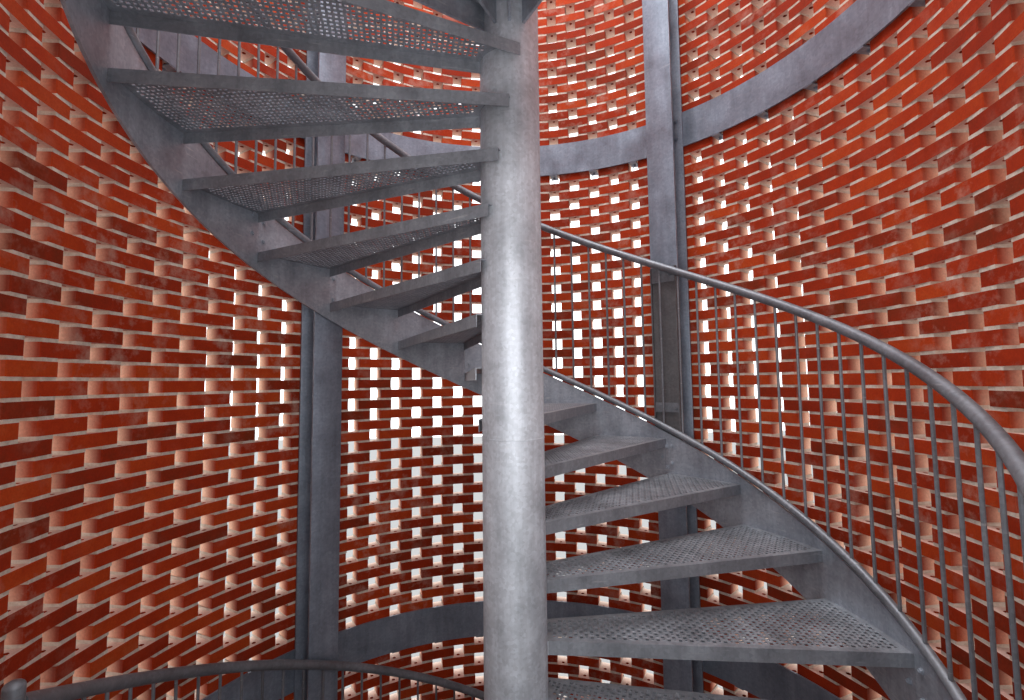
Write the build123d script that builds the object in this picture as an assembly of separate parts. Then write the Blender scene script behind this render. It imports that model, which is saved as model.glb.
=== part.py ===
from build123d import *
import os
from math import atan2, ceil, cos, degrees, pi, radians, sin, sqrt, tan

# The tower stands on level ground. Its axis is Z, its doorways face -Y and the stair climbs
# counterclockwise seen from above. Angles are in degrees from +X, sizes are in millimetres.

# Stair
rise = 187.5
steps_per_flight = 15
step_turn = 18.0
flights = 2
first_nosing_angle = -62.5
storey = rise * (steps_per_flight + 1)
flight_turn = step_turn * steps_per_flight
arrival_angle = first_nosing_angle + flight_turn
landing_turn = 360.0 - flight_turn

# Central column
column_radius = 109.55
column_wall = 8.0
column_above_landing = 1100.0
column_base_size = 360.0
column_base_thickness = 20.0
column_cap_thickness = 12.0

# Treads
tread_outer_radius = 1285.0
tread_sheet = 4.0
tread_flange = 45.0
tread_inner_width = 132.0
tread_inner_reach = -10.0
tread_column_gap = 0.3
tread_end_gap = 0.3

# Outer stringer and rails, in bolted pieces that turn as a chain of short straight bays
pieces_per_flight = 5
bay_turn = 6.0
piece_joint = 0.4
stringer_thickness = 10.0
stringer_over_nosing = 36.0
stringer_under_nosing = 274.0

# Balustrade
handrail_radius = 21.2
handrail_height = 960.0
bottom_rail_radius = 16.85
bottom_rail_gap = 9.0
baluster_radius = 6.0
baluster_spaces = 56
head_setback = 6.0
newel_radius = 21.2
newel_over_rail = 40.0
rail_seat = 0.3

# Posts
post_angle = 44.5
post_width = 160.0
post_depth = 160.0
post_flange = 13.0
post_web = 8.0
post_foot_inside = 70.0
post_foot_thickness = 15.0

# Brick wall
brick_width = 100.0
brick_height = 50.0
mortar_bed = 12.5
bricks_per_course = 36
courses = 140
first_bed = 42.5
stair_to_wall = 230.0
wall_joint = 0.4
wall_segment_turn = 25.0
facet_turn = 5.0
course = brick_height + mortar_bed
wall_inner_radius = tread_outer_radius + stair_to_wall
wall_outer_radius = wall_inner_radius + brick_width
wall_height = first_bed + course * courses

# Rings that tie the posts and the wall together
ring_wall_gap = 10.0
ring_thickness = 10.0
ring_height = 210.0
ring_above_landing = 25.0
ring_post_gap = 0.3
ring_joint = 0.4
ring_head_below_top = 20.0
lug_width = 40.0
lug_thickness = 6.0
lug_inset = 1.0

# Doorways
door_half_angle = 20.0
door_courses = 34
frame_width = 90.0
frame_thickness = 8.0
lintel_height = 40.0

# Landings
landing_sheet = 4.0
landing_wall_gap = 0.4
landing_post_gap = 3.0
beam_depth = 90.0
beam_thickness = 10.0
threshold_height = 60.0

# Brackets from the posts to the stringer
bracket_width = 60.0
bracket_height = 80.0
bracket_plate_height = 160.0
bracket_plate_width = 70.0
bracket_plate_thickness = 8.0

# Channels on the rear right post, over the stringer of each flight
channel_width = 150.0
channel_flange = 8.0
channel_web = 6.0
channel_rail_gap = 2.0
channel_under_nosing = 30.0
channel_over_nosing = 962.0
lower_band_over_nosing = 142.0
lower_band_height = 54.0
upper_band_height = 88.0
band_thickness = 6.0
band_inset = 4.0

# Guard on the open edge of the top landing
guard_spacing = 110.0

ring_inner_radius = wall_inner_radius - ring_wall_gap - ring_thickness
slope = rise / step_turn
stringer_outer_radius = tread_outer_radius + stringer_thickness
rail_line_radius = tread_outer_radius + stringer_thickness / 2
rail_turn = flight_turn - head_setback
bottom_rail_offset = stringer_over_nosing + bottom_rail_gap + bottom_rail_radius
rail_pitch = degrees(atan2(slope * 180.0 / pi, rail_line_radius))
chord = cos(radians(facet_turn / 2))
levels = [storey * n for n in range(flights + 1)]
post_angles = {
    "rear_right": 90.0 - post_angle,
    "rear_left": 90.0 + post_angle,
    "front_left": 270.0 - post_angle,
    "front_right": 270.0 + post_angle,
}
post_outer_face = sqrt((ring_inner_radius * chord) ** 2 - (post_width / 2) ** 2) - ring_post_gap
post_inner_face = post_outer_face - post_depth


def polar(radius, angle):
    """Point at a radius and an angle round the axis."""
    return (radius * cos(radians(angle)), radius * sin(radians(angle)))


def turned(angle, shape, z=0.0):
    """Shape turned round the axis and lifted."""
    return Pos(0, 0, z) * Rot(0, 0, angle) * shape


def facet_angles(start, end, step, origin=0.0):
    """Two end angles with the facet corners of a common grid between them."""
    first = ceil((start - origin) / step + 0.02)
    inner = []
    angle = origin + first * step
    while angle < end - 0.02 * step:
        inner.append(angle)
        angle += step
    return [start] + inner + [end]


def facet_point(radius, angle):
    """Point at an angle on the straight facets whose corners lie on a circle of the radius."""
    from_middle = angle % facet_turn - facet_turn / 2
    return polar(radius * chord / cos(radians(from_middle)), angle)


def sector(inner, outer, start, end):
    """Flat piece of a ring between two angles, in short straight facets on one grid."""
    angles = facet_angles(start, end, facet_turn)
    corners = [facet_point(outer, angle) for angle in angles]
    corners += [facet_point(inner, angle) for angle in reversed(angles)]
    return make_face(Polyline(*corners, close=True))


def curved_wall(inner, outer, start, end, low, high):
    """Upright curved slab between two angles and two heights."""
    return Pos(0, 0, low) * extrude(sector(inner, outer, start, end), high - low)


def climbing_pieces(section, base, whole_turn):
    """Section carried up a flight in a few pieces, each a chain of straight bays."""
    gap = degrees(piece_joint / 2 / tread_outer_radius)
    turn = flight_turn / pieces_per_flight
    pieces = []
    for index in range(pieces_per_flight):
        start = index * turn + (gap if index else 0.0)
        end = (index + 1) * turn - gap if index < pieces_per_flight - 1 else whole_turn
        stations = []
        for angle in facet_angles(start, end, bay_turn):
            lift = base + rise + angle * slope
            stations.append(turned(first_nosing_angle + angle, section, lift))
        pieces.append(loft(stations, ruled=True))
    return pieces


def helical_plate(base, low, high):
    """Upright plate outside the treads that follows the nosing line."""
    middle = Pos(tread_outer_radius + stringer_thickness / 2, (low + high) / 2)
    section = Plane.XZ * middle * Rectangle(stringer_thickness, high - low)
    return climbing_pieces(section, base, flight_turn)


def helical_rod(base, height, rod_radius):
    """Round bar over the stringer that follows the nosing line, with upright ends."""
    corner = rod_radius / cos(pi / 8)
    upright = corner / cos(radians(rail_pitch))
    angles = [pi / 8 + pi / 4 * index for index in range(8)]
    outline = [(corner * cos(angle), upright * sin(angle)) for angle in angles]
    section = Plane.XZ * Pos(rail_line_radius, height) * make_face(Polyline(*outline, close=True))
    return Compound(children=climbing_pieces(section, base, rail_turn))


def nosing_height(angle, base):
    """Height of the nosing line of the flight that starts at a level."""
    return base + rise + (angle - first_nosing_angle) * slope


def column_parts():
    """Tube that carries the treads, with its foot plate and cap."""
    top = levels[-1] + column_above_landing
    base = Box(column_base_size, column_base_size, column_base_thickness)
    base = Pos(0, 0, column_base_thickness / 2) * base
    height = top - column_base_thickness
    tube = Cylinder(column_radius, height) - Cylinder(column_radius - column_wall, height)
    tube = Pos(0, 0, column_base_thickness + height / 2) * tube
    cap = Cylinder(column_radius, column_cap_thickness)
    cap = Pos(0, 0, top + column_cap_thickness / 2) * cap
    return {"column_base": base, "column": tube, "column_cap": cap}


def tread_outline(beyond=0.0):
    """Plan of one tread at angle 0: the nosing is radial, the rear edge runs wide of the column."""
    outer = tread_outer_radius - tread_end_gap
    corners = [polar(outer, angle) for angle in facet_angles(0.0, step_turn, bay_turn)]
    rear_x, rear_y = corners[-1]
    lean = (rear_y - tread_inner_width) / (rear_x - tread_inner_reach)
    end_x = tread_inner_reach - beyond
    corners += [(end_x, tread_inner_width - beyond * lean), (end_x, 0.0)]
    return make_face(Polyline(*corners, close=True))


def tread():
    """Pan of folded sheet, open at the column: a flat top with a flange down its other sides."""
    block = extrude(tread_outline(), -tread_flange)
    inside = offset(tread_outline(2 * tread_sheet), -tread_sheet, kind=Kind.INTERSECTION)
    hollow = Pos(0, 0, -tread_sheet) * extrude(inside, -tread_flange)
    clear = RegularPolygon(column_radius + tread_column_gap, 24, major_radius=False)
    return block - hollow - extrude(clear, -2 * tread_flange, both=True)


def flight_parts(number):
    """One flight: treads, outer stringer, rails, balusters and end posts."""
    base = levels[number - 1]
    name = f"flight_{number}_"
    one_tread = tread()
    treads = []
    for step in range(steps_per_flight):
        angle = first_nosing_angle + step * step_turn
        treads.append(turned(angle, one_tread, base + rise * (step + 1)))
    floor = Pos(0, 0, -storey / 2) * Box(4 * tread_outer_radius, 4 * tread_outer_radius, storey)
    stringer = [piece - floor for piece in helical_plate(base, -stringer_under_nosing, stringer_over_nosing)]
    return {
        name + "treads": Compound(children=treads),
        name + "stringer": Compound(children=stringer),
        name + "handrail": helical_rod(base, handrail_height, handrail_radius),
        name + "bottom_rail": helical_rod(base, bottom_rail_offset, bottom_rail_radius),
        name + "balusters": balusters(base),
        name + "newels": newels(base),
    }


def baluster():
    """Upright bar at angle 0, its ends cut to the slope of the rails."""
    along = 1 / cos(radians(rail_pitch))
    low = bottom_rail_offset + bottom_rail_radius * along + rail_seat
    high = handrail_height - handrail_radius * along - rail_seat
    corner = baluster_radius / cos(pi / 6)
    lean = tan(radians(rail_pitch))
    angles = [pi / 3 * index for index in range(6)]
    ends = []
    for height in (low, high):
        outline = []
        for angle in angles:
            across = corner * sin(angle)
            outline.append((rail_line_radius + corner * cos(angle), across, height + across * lean))
        ends.append(make_face(Polyline(*outline, close=True)))
    return loft(ends, ruled=True)


def balusters(base):
    """Bars of one flight, evenly spaced between its end posts."""
    space = rail_turn / baluster_spaces
    bar = baluster()
    bars = []
    for index in range(1, baluster_spaces):
        angle = index * space
        bars.append(turned(first_nosing_angle + angle, bar, base + rise + angle * slope))
    return Compound(children=bars)


def newel(height):
    """Post with a rounded head, a flat side towards the rails."""
    outline = RegularPolygon(newel_radius, 12, major_radius=False, rotation=15)
    small = RegularPolygon(newel_radius * 0.6, 12, major_radius=False, rotation=15)
    dome = loft([outline, Pos(0, 0, newel_radius * 0.7) * small], ruled=True)
    return extrude(outline, height) + Pos(0, 0, height) * dome


def head_newel():
    """Post at the head of a flight, height 0 at the nosing line, its foot cut to the stringer's slope."""
    seat = stringer_over_nosing + rail_seat
    low = seat - newel_radius
    size = 4 * newel_radius
    shaft = Pos(0, 0, low) * newel(handrail_height + newel_over_rail - low)
    return shaft - Pos(0, 0, seat) * Rot(rail_pitch, 0, 0) * Pos(0, 0, -size / 2) * Box(size, size, size)


def newels(base):
    """Posts with rounded heads that end the balustrade at the foot and the head of a flight."""
    half = degrees((newel_radius + rail_seat) / rail_line_radius)
    foot_angle = first_nosing_angle - half
    head_angle = first_nosing_angle + rail_turn + half
    foot_post = newel(nosing_height(foot_angle, base) + handrail_height - base)
    on_rail_line = Pos(rail_line_radius, 0, 0)
    posts = [
        turned(foot_angle, on_rail_line * foot_post, base),
        turned(head_angle, on_rail_line * head_newel(), nosing_height(head_angle, base)),
    ]
    return Compound(children=posts)


def post_section():
    """H section with one flange facing the axis."""
    flange = Rectangle(post_flange, post_width)
    out = (post_depth - post_flange) / 2
    web = Rectangle(post_depth - 2 * post_flange, post_web)
    return Pos(-out, 0) * flange + Pos(out, 0) * flange + web


def post(angle):
    """Post from its foot plate to the head of the wall."""
    centre = Pos(post_inner_face + post_depth / 2, 0, 0)
    shaft = Pos(0, 0, post_foot_thickness) * extrude(post_section(), wall_height - post_foot_thickness)
    foot = Pos(-post_foot_inside / 2, 0) * Rectangle(post_depth + post_foot_inside, post_width)
    return turned(angle, centre * (shaft + extrude(foot, post_foot_thickness)))


def ring_spans():
    """Angles of the three ring arcs, which meet behind the posts."""
    gap = degrees(ring_joint / 2 / ring_inner_radius)
    angles = post_angles
    pairs = [
        (angles["front_right"] - 360.0, angles["rear_right"]),
        (angles["rear_right"], angles["rear_left"]),
        (angles["rear_left"], angles["front_left"]),
    ]
    return [(start + gap, end - gap) for start, end in pairs]


def ring(low):
    """Tie ring of flat plate, open at the doorway side."""
    outer = ring_inner_radius + ring_thickness
    arcs = []
    for start, end in ring_spans():
        arcs.append(curved_wall(ring_inner_radius, outer, start, end, low, low + ring_height))
    return Compound(children=arcs)


def lug_angles(low):
    """Angles of the gaps between the bricks of the course behind a ring's underside."""
    pitch = 360.0 / bricks_per_course
    row = int((low - first_bed) // course)
    phase = pitch / 2 if row % 2 else 0.0
    clear = degrees((post_width + lug_width) / 2 / ring_inner_radius)
    found = []
    for start, end in ring_spans():
        angle = phase + ceil((start + clear - phase) / pitch) * pitch
        while angle < end - clear:
            found.append(angle)
            angle += pitch
    return found


def tie_lugs(ring_low):
    """Plates under a ring that reach to the wall, one at each gap between the bricks."""
    start = ring_inner_radius + lug_inset
    reach = wall_inner_radius * chord - wall_joint - start
    middle = Pos(start + reach / 2, 0)
    plate = extrude(middle * Rectangle(reach, lug_width), -lug_thickness)
    return Compound(children=[turned(angle, plate, ring_low) for angle in lug_angles(ring_low)])


def ring_lows():
    """Undersides of the rings: one at each landing and one at the head of the wall."""
    lows = [level + ring_above_landing for level in levels[1:]]
    return lows + [wall_height - ring_head_below_top - ring_height]


def wall_panel(start, end, low=0.0, high=wall_height):
    """Brick panel between two angles, in a few upright segments."""
    count = ceil((end - start) / wall_segment_turn)
    turn = (end - start) / count
    gap = degrees(wall_joint / 2 / wall_inner_radius)
    segments = []
    for index in range(count):
        left = start + index * turn + (gap if index else 0.0)
        right = start + (index + 1) * turn - (gap if index < count - 1 else 0.0)
        segments.append(curved_wall(wall_inner_radius, wall_outer_radius, left, right, low, high))
    return Compound(children=segments)


def walls():
    """Brick panels that meet behind the posts, and those beside and over the doorways."""
    side = degrees(wall_joint / 2 / wall_inner_radius)
    angles = post_angles
    left_jamb = 270.0 - door_half_angle
    right_jamb = 270.0 + door_half_angle
    parts = {
        "wall_rear": wall_panel(angles["rear_right"] + side, angles["rear_left"] - side),
        "wall_left": wall_panel(angles["rear_left"] + side, angles["front_left"] - side),
        "wall_right": wall_panel(angles["front_right"] - 360.0 + side, angles["rear_right"] - side),
        "wall_front_left": wall_panel(angles["front_left"] + side, left_jamb),
        "wall_front_right": wall_panel(right_jamb, angles["front_right"] - side),
    }
    gap = degrees(wall_joint / wall_inner_radius)
    tops = levels[1:] + [wall_height]
    for number, (level, top) in enumerate(zip(levels, tops), start=1):
        low = door_head(level) + lintel_height
        high = top - (threshold_height if number <= flights else 0.0)
        parts[f"wall_over_door_{number}"] = wall_panel(left_jamb + gap, right_jamb - gap, low, high)
    return parts


def door_head(level):
    """Height of the underside of the lintel over a doorway."""
    return level + door_courses * course


def door_frame(level):
    """Steel lining of a doorway: two jambs and a lintel that follows the wall."""
    edge = degrees(wall_joint / wall_inner_radius)
    turn = degrees(frame_thickness / wall_inner_radius)
    left = 270.0 - door_half_angle + edge
    right = 270.0 + door_half_angle - edge
    head = door_head(level)
    middle = (wall_inner_radius + wall_outer_radius) / 2
    inner, outer = middle - frame_width / 2, middle + frame_width / 2
    jamb_left = curved_wall(inner, outer, left, left + turn, level, head)
    jamb_right = curved_wall(inner, outer, right - turn, right, level, head)
    lintel = curved_wall(inner, outer, left, right, head, head + lintel_height - wall_joint)
    return jamb_left + jamb_right + lintel


def landing_outline(edge_gap):
    """Plan of a landing, from the column to the wall, cut out round the post beside the doorway."""
    inner = column_radius + tread_column_gap
    face = sector(inner, wall_inner_radius - edge_gap, arrival_angle, arrival_angle + landing_turn)
    size = post_width + 2 * landing_post_gap
    notch = Pos(post_inner_face - landing_post_gap + post_depth, 0) * Rectangle(2 * post_depth, size)
    return face - Rot(0, 0, post_angles["front_left"]) * notch


def landing_parts(number):
    """One landing: its deck, the beams under it, the curved edge plate and the door sill."""
    level = levels[number]
    name = f"landing_{number}_"
    top = level - landing_sheet
    joint = degrees(wall_joint / wall_inner_radius)
    left = 270.0 - door_half_angle + joint
    right = 270.0 + door_half_angle - joint
    low = level - threshold_height + wall_joint
    return {
        name + "deck": Pos(0, 0, top) * extrude(landing_outline(landing_wall_gap), landing_sheet),
        name + "beams": landing_beams(top),
        name + "edge": landing_edge(level + rise - stringer_under_nosing, top),
        name + "sill": curved_wall(wall_inner_radius, wall_outer_radius, left, right, low, level),
    }


def landing_edge(low, high):
    """Curved plate under a landing that carries the stringer's line on to the next flight."""
    joint = degrees(tread_end_gap / tread_outer_radius)
    start = arrival_angle + joint
    end = arrival_angle + landing_turn - joint
    return curved_wall(tread_outer_radius, stringer_outer_radius, start, end, low, high)


def landing_beams(top):
    """Flat bars under a landing, from the column to the edge plate and on towards the wall."""
    spans = [
        (column_radius + tread_column_gap, tread_outer_radius * chord - tread_end_gap),
        (stringer_outer_radius + tread_end_gap, ring_inner_radius),
    ]
    beams = []
    for angle in beam_angles():
        for start, end in spans:
            bar = Pos((start + end) / 2, 0, -beam_depth / 2) * Box(end - start, beam_thickness, beam_depth)
            beams.append(turned(angle, bar, top))
    return Compound(children=beams)


def beam_angles():
    """Angles of the beams under a landing: both edges, the middle and beside the doorway."""
    inset = degrees(beam_thickness / 2 / column_radius)
    start = arrival_angle + inset
    end = arrival_angle + landing_turn - inset
    return [start, start + (end - start) * 0.36, start + (end - start) * 0.68, end]


def brackets():
    """Stubs that tie the stringer of each flight to the posts it passes."""
    low = stringer_outer_radius + rail_seat
    length = post_inner_face - rail_seat - low
    passed = [post_angles["front_right"] - 360.0, post_angles["rear_right"], post_angles["rear_left"]]
    found = []
    for number in range(flights):
        base = levels[number]
        for angle in passed:
            middle = nosing_height(angle, base) - (stringer_under_nosing - stringer_over_nosing) / 2
            stub = Box(length, bracket_width, bracket_height)
            plate = Box(bracket_plate_thickness, bracket_plate_width, bracket_plate_height)
            stub = Pos(low + length / 2, 0, 0) * stub
            plate = Pos(low + bracket_plate_thickness / 2, 0, 0) * plate
            found.append(turned(angle, stub + plate, middle))
    return Compound(children=found)


def channel():
    """Channel open towards the stair, its height 0 at the nosing line, closed by two bands."""
    front = rail_line_radius + handrail_radius + channel_rail_gap
    back = post_inner_face - rail_seat
    depth = back - front
    inside = channel_width - 2 * channel_flange
    section = Pos(front + depth / 2, 0) * Rectangle(depth, channel_width)
    section -= Pos(front + depth / 2 - channel_web, 0) * Rectangle(depth, inside)
    height = channel_under_nosing + channel_over_nosing
    shape = Pos(0, 0, -channel_under_nosing) * extrude(section, height)
    bands = [
        (lower_band_over_nosing, lower_band_height),
        (channel_over_nosing - upper_band_height, upper_band_height),
    ]
    for low, tall in bands:
        band = Box(band_thickness, inside, tall)
        shape += Pos(front + band_inset + band_thickness / 2, 0, low + tall / 2) * band
    return shape


def post_channels():
    """Channels on the rear right post, one over the stringer of each flight."""
    angle = post_angles["rear_right"]
    one = channel()
    return Compound(children=[turned(angle, one, nosing_height(angle, levels[n])) for n in range(flights)])


def top_guard():
    """Guard along the open edge of the top landing, from the column to an end post."""
    inner = column_radius + rail_seat
    length = rail_line_radius - inner
    rails = []
    for height, radius in ((handrail_height, handrail_radius), (bottom_rail_offset, bottom_rail_radius)):
        profile = Plane.YZ * RegularPolygon(radius, 8, major_radius=False, rotation=22.5)
        rails.append(Pos(inner, 0, height) * extrude(profile, length))
    count = round(length / guard_spacing)
    bar = RegularPolygon(baluster_radius, 6, major_radius=False)
    bar = extrude(bar, handrail_height - bottom_rail_offset)
    bars = [Pos(inner + length * index / count, 0, bottom_rail_offset) * bar for index in range(1, count)]
    guard = Pos(rail_line_radius, 0, 0) * newel(handrail_height)
    for piece in rails + bars:
        guard = guard + piece
    guard = Pos(0, -newel_radius - rail_seat, 0) * guard
    return turned(arrival_angle + landing_turn, guard, levels[-1])


def build():
    """All nodes by name."""
    nodes = column_parts()
    for name, angle in post_angles.items():
        nodes[f"post_{name}"] = post(angle)
    for number, low in enumerate(ring_lows(), start=1):
        nodes[f"ring_{number}"] = ring(low)
        nodes[f"tie_lugs_{number}"] = tie_lugs(low)
    nodes.update(walls())
    for number, level in enumerate(levels, start=1):
        nodes[f"door_frame_{number}"] = door_frame(level)
    for number in range(1, flights + 1):
        nodes.update(flight_parts(number))
        nodes.update(landing_parts(number))
    nodes["stair_brackets"] = brackets()
    nodes["post_channels"] = post_channels()
    nodes["top_landing_guard"] = top_guard()
    return nodes


os.makedirs("parts", exist_ok=True)
for node, shape in build().items():
    export_step(shape, f"parts/{node}.step")
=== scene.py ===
"""Spiral stair tower: open brickwork round a galvanised steel stair, built on the CAD frame."""
import logging
from dataclasses import dataclass, field
from enum import Enum
from math import acos, asin, atan, ceil, cos, degrees, floor, hypot, pi, radians, sin, sqrt

import bmesh
import bpy
import numpy as np
from mathutils import Matrix, Vector


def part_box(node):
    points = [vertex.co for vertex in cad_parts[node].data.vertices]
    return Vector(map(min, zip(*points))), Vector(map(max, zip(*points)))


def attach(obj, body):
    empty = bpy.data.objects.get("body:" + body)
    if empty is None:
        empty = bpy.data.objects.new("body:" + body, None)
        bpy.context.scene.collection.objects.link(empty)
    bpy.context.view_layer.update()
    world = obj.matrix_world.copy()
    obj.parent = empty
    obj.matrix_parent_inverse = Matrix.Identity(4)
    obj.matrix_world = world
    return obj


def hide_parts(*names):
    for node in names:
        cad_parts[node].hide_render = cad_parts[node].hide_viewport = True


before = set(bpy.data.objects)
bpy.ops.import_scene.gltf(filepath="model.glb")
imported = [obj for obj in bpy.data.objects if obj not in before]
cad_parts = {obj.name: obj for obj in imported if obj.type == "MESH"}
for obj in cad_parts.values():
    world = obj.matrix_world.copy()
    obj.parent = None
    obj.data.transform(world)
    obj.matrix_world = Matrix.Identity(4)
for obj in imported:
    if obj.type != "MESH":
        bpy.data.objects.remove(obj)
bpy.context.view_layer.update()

log = logging.getLogger("stair_tower")
logging.basicConfig(level=logging.INFO, format="%(name)s: %(message)s")

Point = tuple[float, float]
Triple = tuple[float, float, float]
BMesh = bmesh.types.BMesh
Tree = bpy.types.NodeTree
Socket = bpy.types.NodeSocket
Node = bpy.types.Node
Object = bpy.types.Object
Vert = bmesh.types.BMVert


# Sizes shared by the whole tower, in metres and degrees


@dataclass(frozen=True)
class Plan:
    """Main sizes of the tower, the same as the solids'."""

    rise: float = 0.1875
    steps: int = 15
    step_turn: float = 18.0
    flights: int = 2
    first_angle: float = -62.5
    landing_turn: float = 90.0
    column_radius: float = 0.10955
    stair_radius: float = 1.285
    stringer_thickness: float = 0.010
    rail_radius: float = 1.290
    wall_inner: float = 1.515
    wall_height: float = 8.7925
    course: float = 0.0625
    first_bed: float = 0.0425
    post_angle: float = 44.5
    post_size: float = 0.160
    post_flange: float = 0.013
    ring_inner: float = 1.495
    ring_thickness: float = 0.010
    ring_height: float = 0.210
    door_half_angle: float = 20.0
    fit: float = 0.0004

    @property
    def post_back(self) -> float:
        """Distance of the posts' rear flange, which rests on the facets of the rings."""
        return sqrt((self.ring_inner * cos(radians(2.5))) ** 2 - (self.post_size / 2) ** 2) - 0.0003

    @property
    def post_face(self) -> float:
        """Distance of the posts' flange towards the axis."""
        return self.post_back - self.post_size

    @property
    def storey(self) -> float:
        """Height of one storey."""
        return self.rise * (self.steps + 1)

    @property
    def slope(self) -> float:
        """Rise of the nosing line per degree."""
        return self.rise / self.step_turn

    @property
    def climb(self) -> float:
        """Rise of the nosing line per radian."""
        return degrees(self.slope)

    @property
    def flight_turn(self) -> float:
        """Turn of one flight."""
        return self.step_turn * self.steps

    @property
    def arrival(self) -> float:
        """Angle at which a flight meets its landing."""
        return self.first_angle + self.flight_turn

    @property
    def levels(self) -> list[float]:
        """Heights of the ground and the landings."""
        return [self.storey * n for n in range(self.flights + 1)]

    @property
    def post_angles(self) -> dict[str, float]:
        """Angles of the four posts by name."""
        return {
            "rear_right": 90.0 - self.post_angle,
            "rear_left": 90.0 + self.post_angle,
            "front_left": 270.0 - self.post_angle,
            "front_right": 270.0 + self.post_angle - 360.0,
        }

    @property
    def ring_lows(self) -> list[float]:
        """Undersides of the rings."""
        return [level + 0.025 for level in self.levels[1:]] + [self.wall_height - 0.020 - self.ring_height]

    def nosing(self, angle: float, flight: int) -> float:
        """Height of a flight's nosing line at an angle."""
        return self.levels[flight - 1] + self.rise + (angle - self.first_angle) * self.slope


PLAN = Plan()


class Slot(Enum):
    """Material slots of the part's record."""

    BRICK = "brickwork"
    FRAME = "frame_steel"
    STAIR = "stair_steel"
    TREAD = "tread_sheet"
    RAIL = "rail_steel"


# Finishes


@dataclass(frozen=True)
class Finish:
    """A procedural material made on first use."""

    name: str

    def build(self, tree: Tree, shader: Node) -> None:
        """Wires the finish into a fresh material."""
        raise NotImplementedError

    def material(self) -> bpy.types.Material:
        """The finish's material.

        Returns:
            The material, made once and shared afterwards.
        """
        found = bpy.data.materials.get(self.name)
        if found:
            return found
        made = bpy.data.materials.new(self.name)
        made.use_nodes = True
        self.build(made.node_tree, made.node_tree.nodes["Principled BSDF"])
        return made


def feed(tree: Tree, into: Node, values: dict) -> None:
    """Links or sets a node's inputs, or sets its properties.

    Args:
        tree: The material's tree.
        into: The node.
        values: Sockets to link or values to set, by the input's place or name or the property's name.
    """
    for key, value in values.items():
        label = key if isinstance(key, int) else key.replace("_", " ")
        if isinstance(label, str) and label not in into.inputs:
            setattr(into, key, value)
        elif isinstance(value, Socket):
            tree.links.new(value, into.inputs[label])
        else:
            into.inputs[label].default_value = value


def node(tree: Tree, kind: str, *feeds: object, **values: object) -> Node:
    """Adds a shader node of a kind with its inputs in order, then by name."""
    made = tree.nodes.new("ShaderNode" + kind)
    feed(tree, made, {**dict(enumerate(feeds)), **values})
    return made


def noise(tree: Tree, place: Socket, scale: float, detail: float, roughness: float) -> Socket:
    """Noise with a given size of grain."""
    return node(tree, "TexNoise", place, Scale=scale, Detail=detail, Roughness=roughness).outputs["Fac"]


def spread(
    tree: Tree, source: Socket, low: float, high: float, start: float = 0.3, end: float = 0.7
) -> Socket:
    """Maps a value to a range.

    Args:
        tree: The material's tree.
        source: The value.
        low: Result at the start.
        high: Result at the end.
        start: Value at the start; most of a noise lies between the two defaults.
        end: Value at the end.

    Returns:
        The result's socket.
    """
    made = node(tree, "MapRange", source, From_Min=start, From_Max=end, To_Min=low, To_Max=high)
    return made.outputs["Result"]


def product(tree: Tree, first: Socket, second: Socket) -> Socket:
    """Multiplies two values."""
    return node(tree, "Math", first, second, operation="MULTIPLY").outputs["Value"]


def ramp(tree: Tree, source: Socket, stops: list[tuple[float, Triple]]) -> Socket:
    """Maps a value to the given run of colours."""
    made = node(tree, "ValToRGB", source)
    bar = made.color_ramp.elements
    while len(bar) < len(stops):
        bar.new(0.5)
    for element, (place, colour) in zip(bar, stops):
        element.position = place
        element.color = (*colour, 1.0)
    return made.outputs["Color"]


def mix(
    tree: Tree, factor: Socket | float, first: Socket, second: Socket | Triple, blend: str = "MIX"
) -> Socket:
    """Mixes two colours.

    Args:
        tree: The material's tree.
        factor: Share of the second colour.
        first: First colour.
        second: Second colour.
        blend: Blend type.

    Returns:
        The result's socket.
    """
    made = node(tree, "Mix", factor, data_type="RGBA", blend_type=blend)
    feed(tree, made, {6: first, 7: second if isinstance(second, Socket) else (*second, 1.0)})
    return made.outputs[2]


def bump(tree: Tree, shader: Node, height: Socket, strength: float, depth: float) -> None:
    """Adds a fine relief to the shader."""
    made = node(tree, "Bump", Strength=strength, Distance=depth, Height=height)
    feed(tree, shader, {"Normal": made.outputs["Normal"]})


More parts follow.
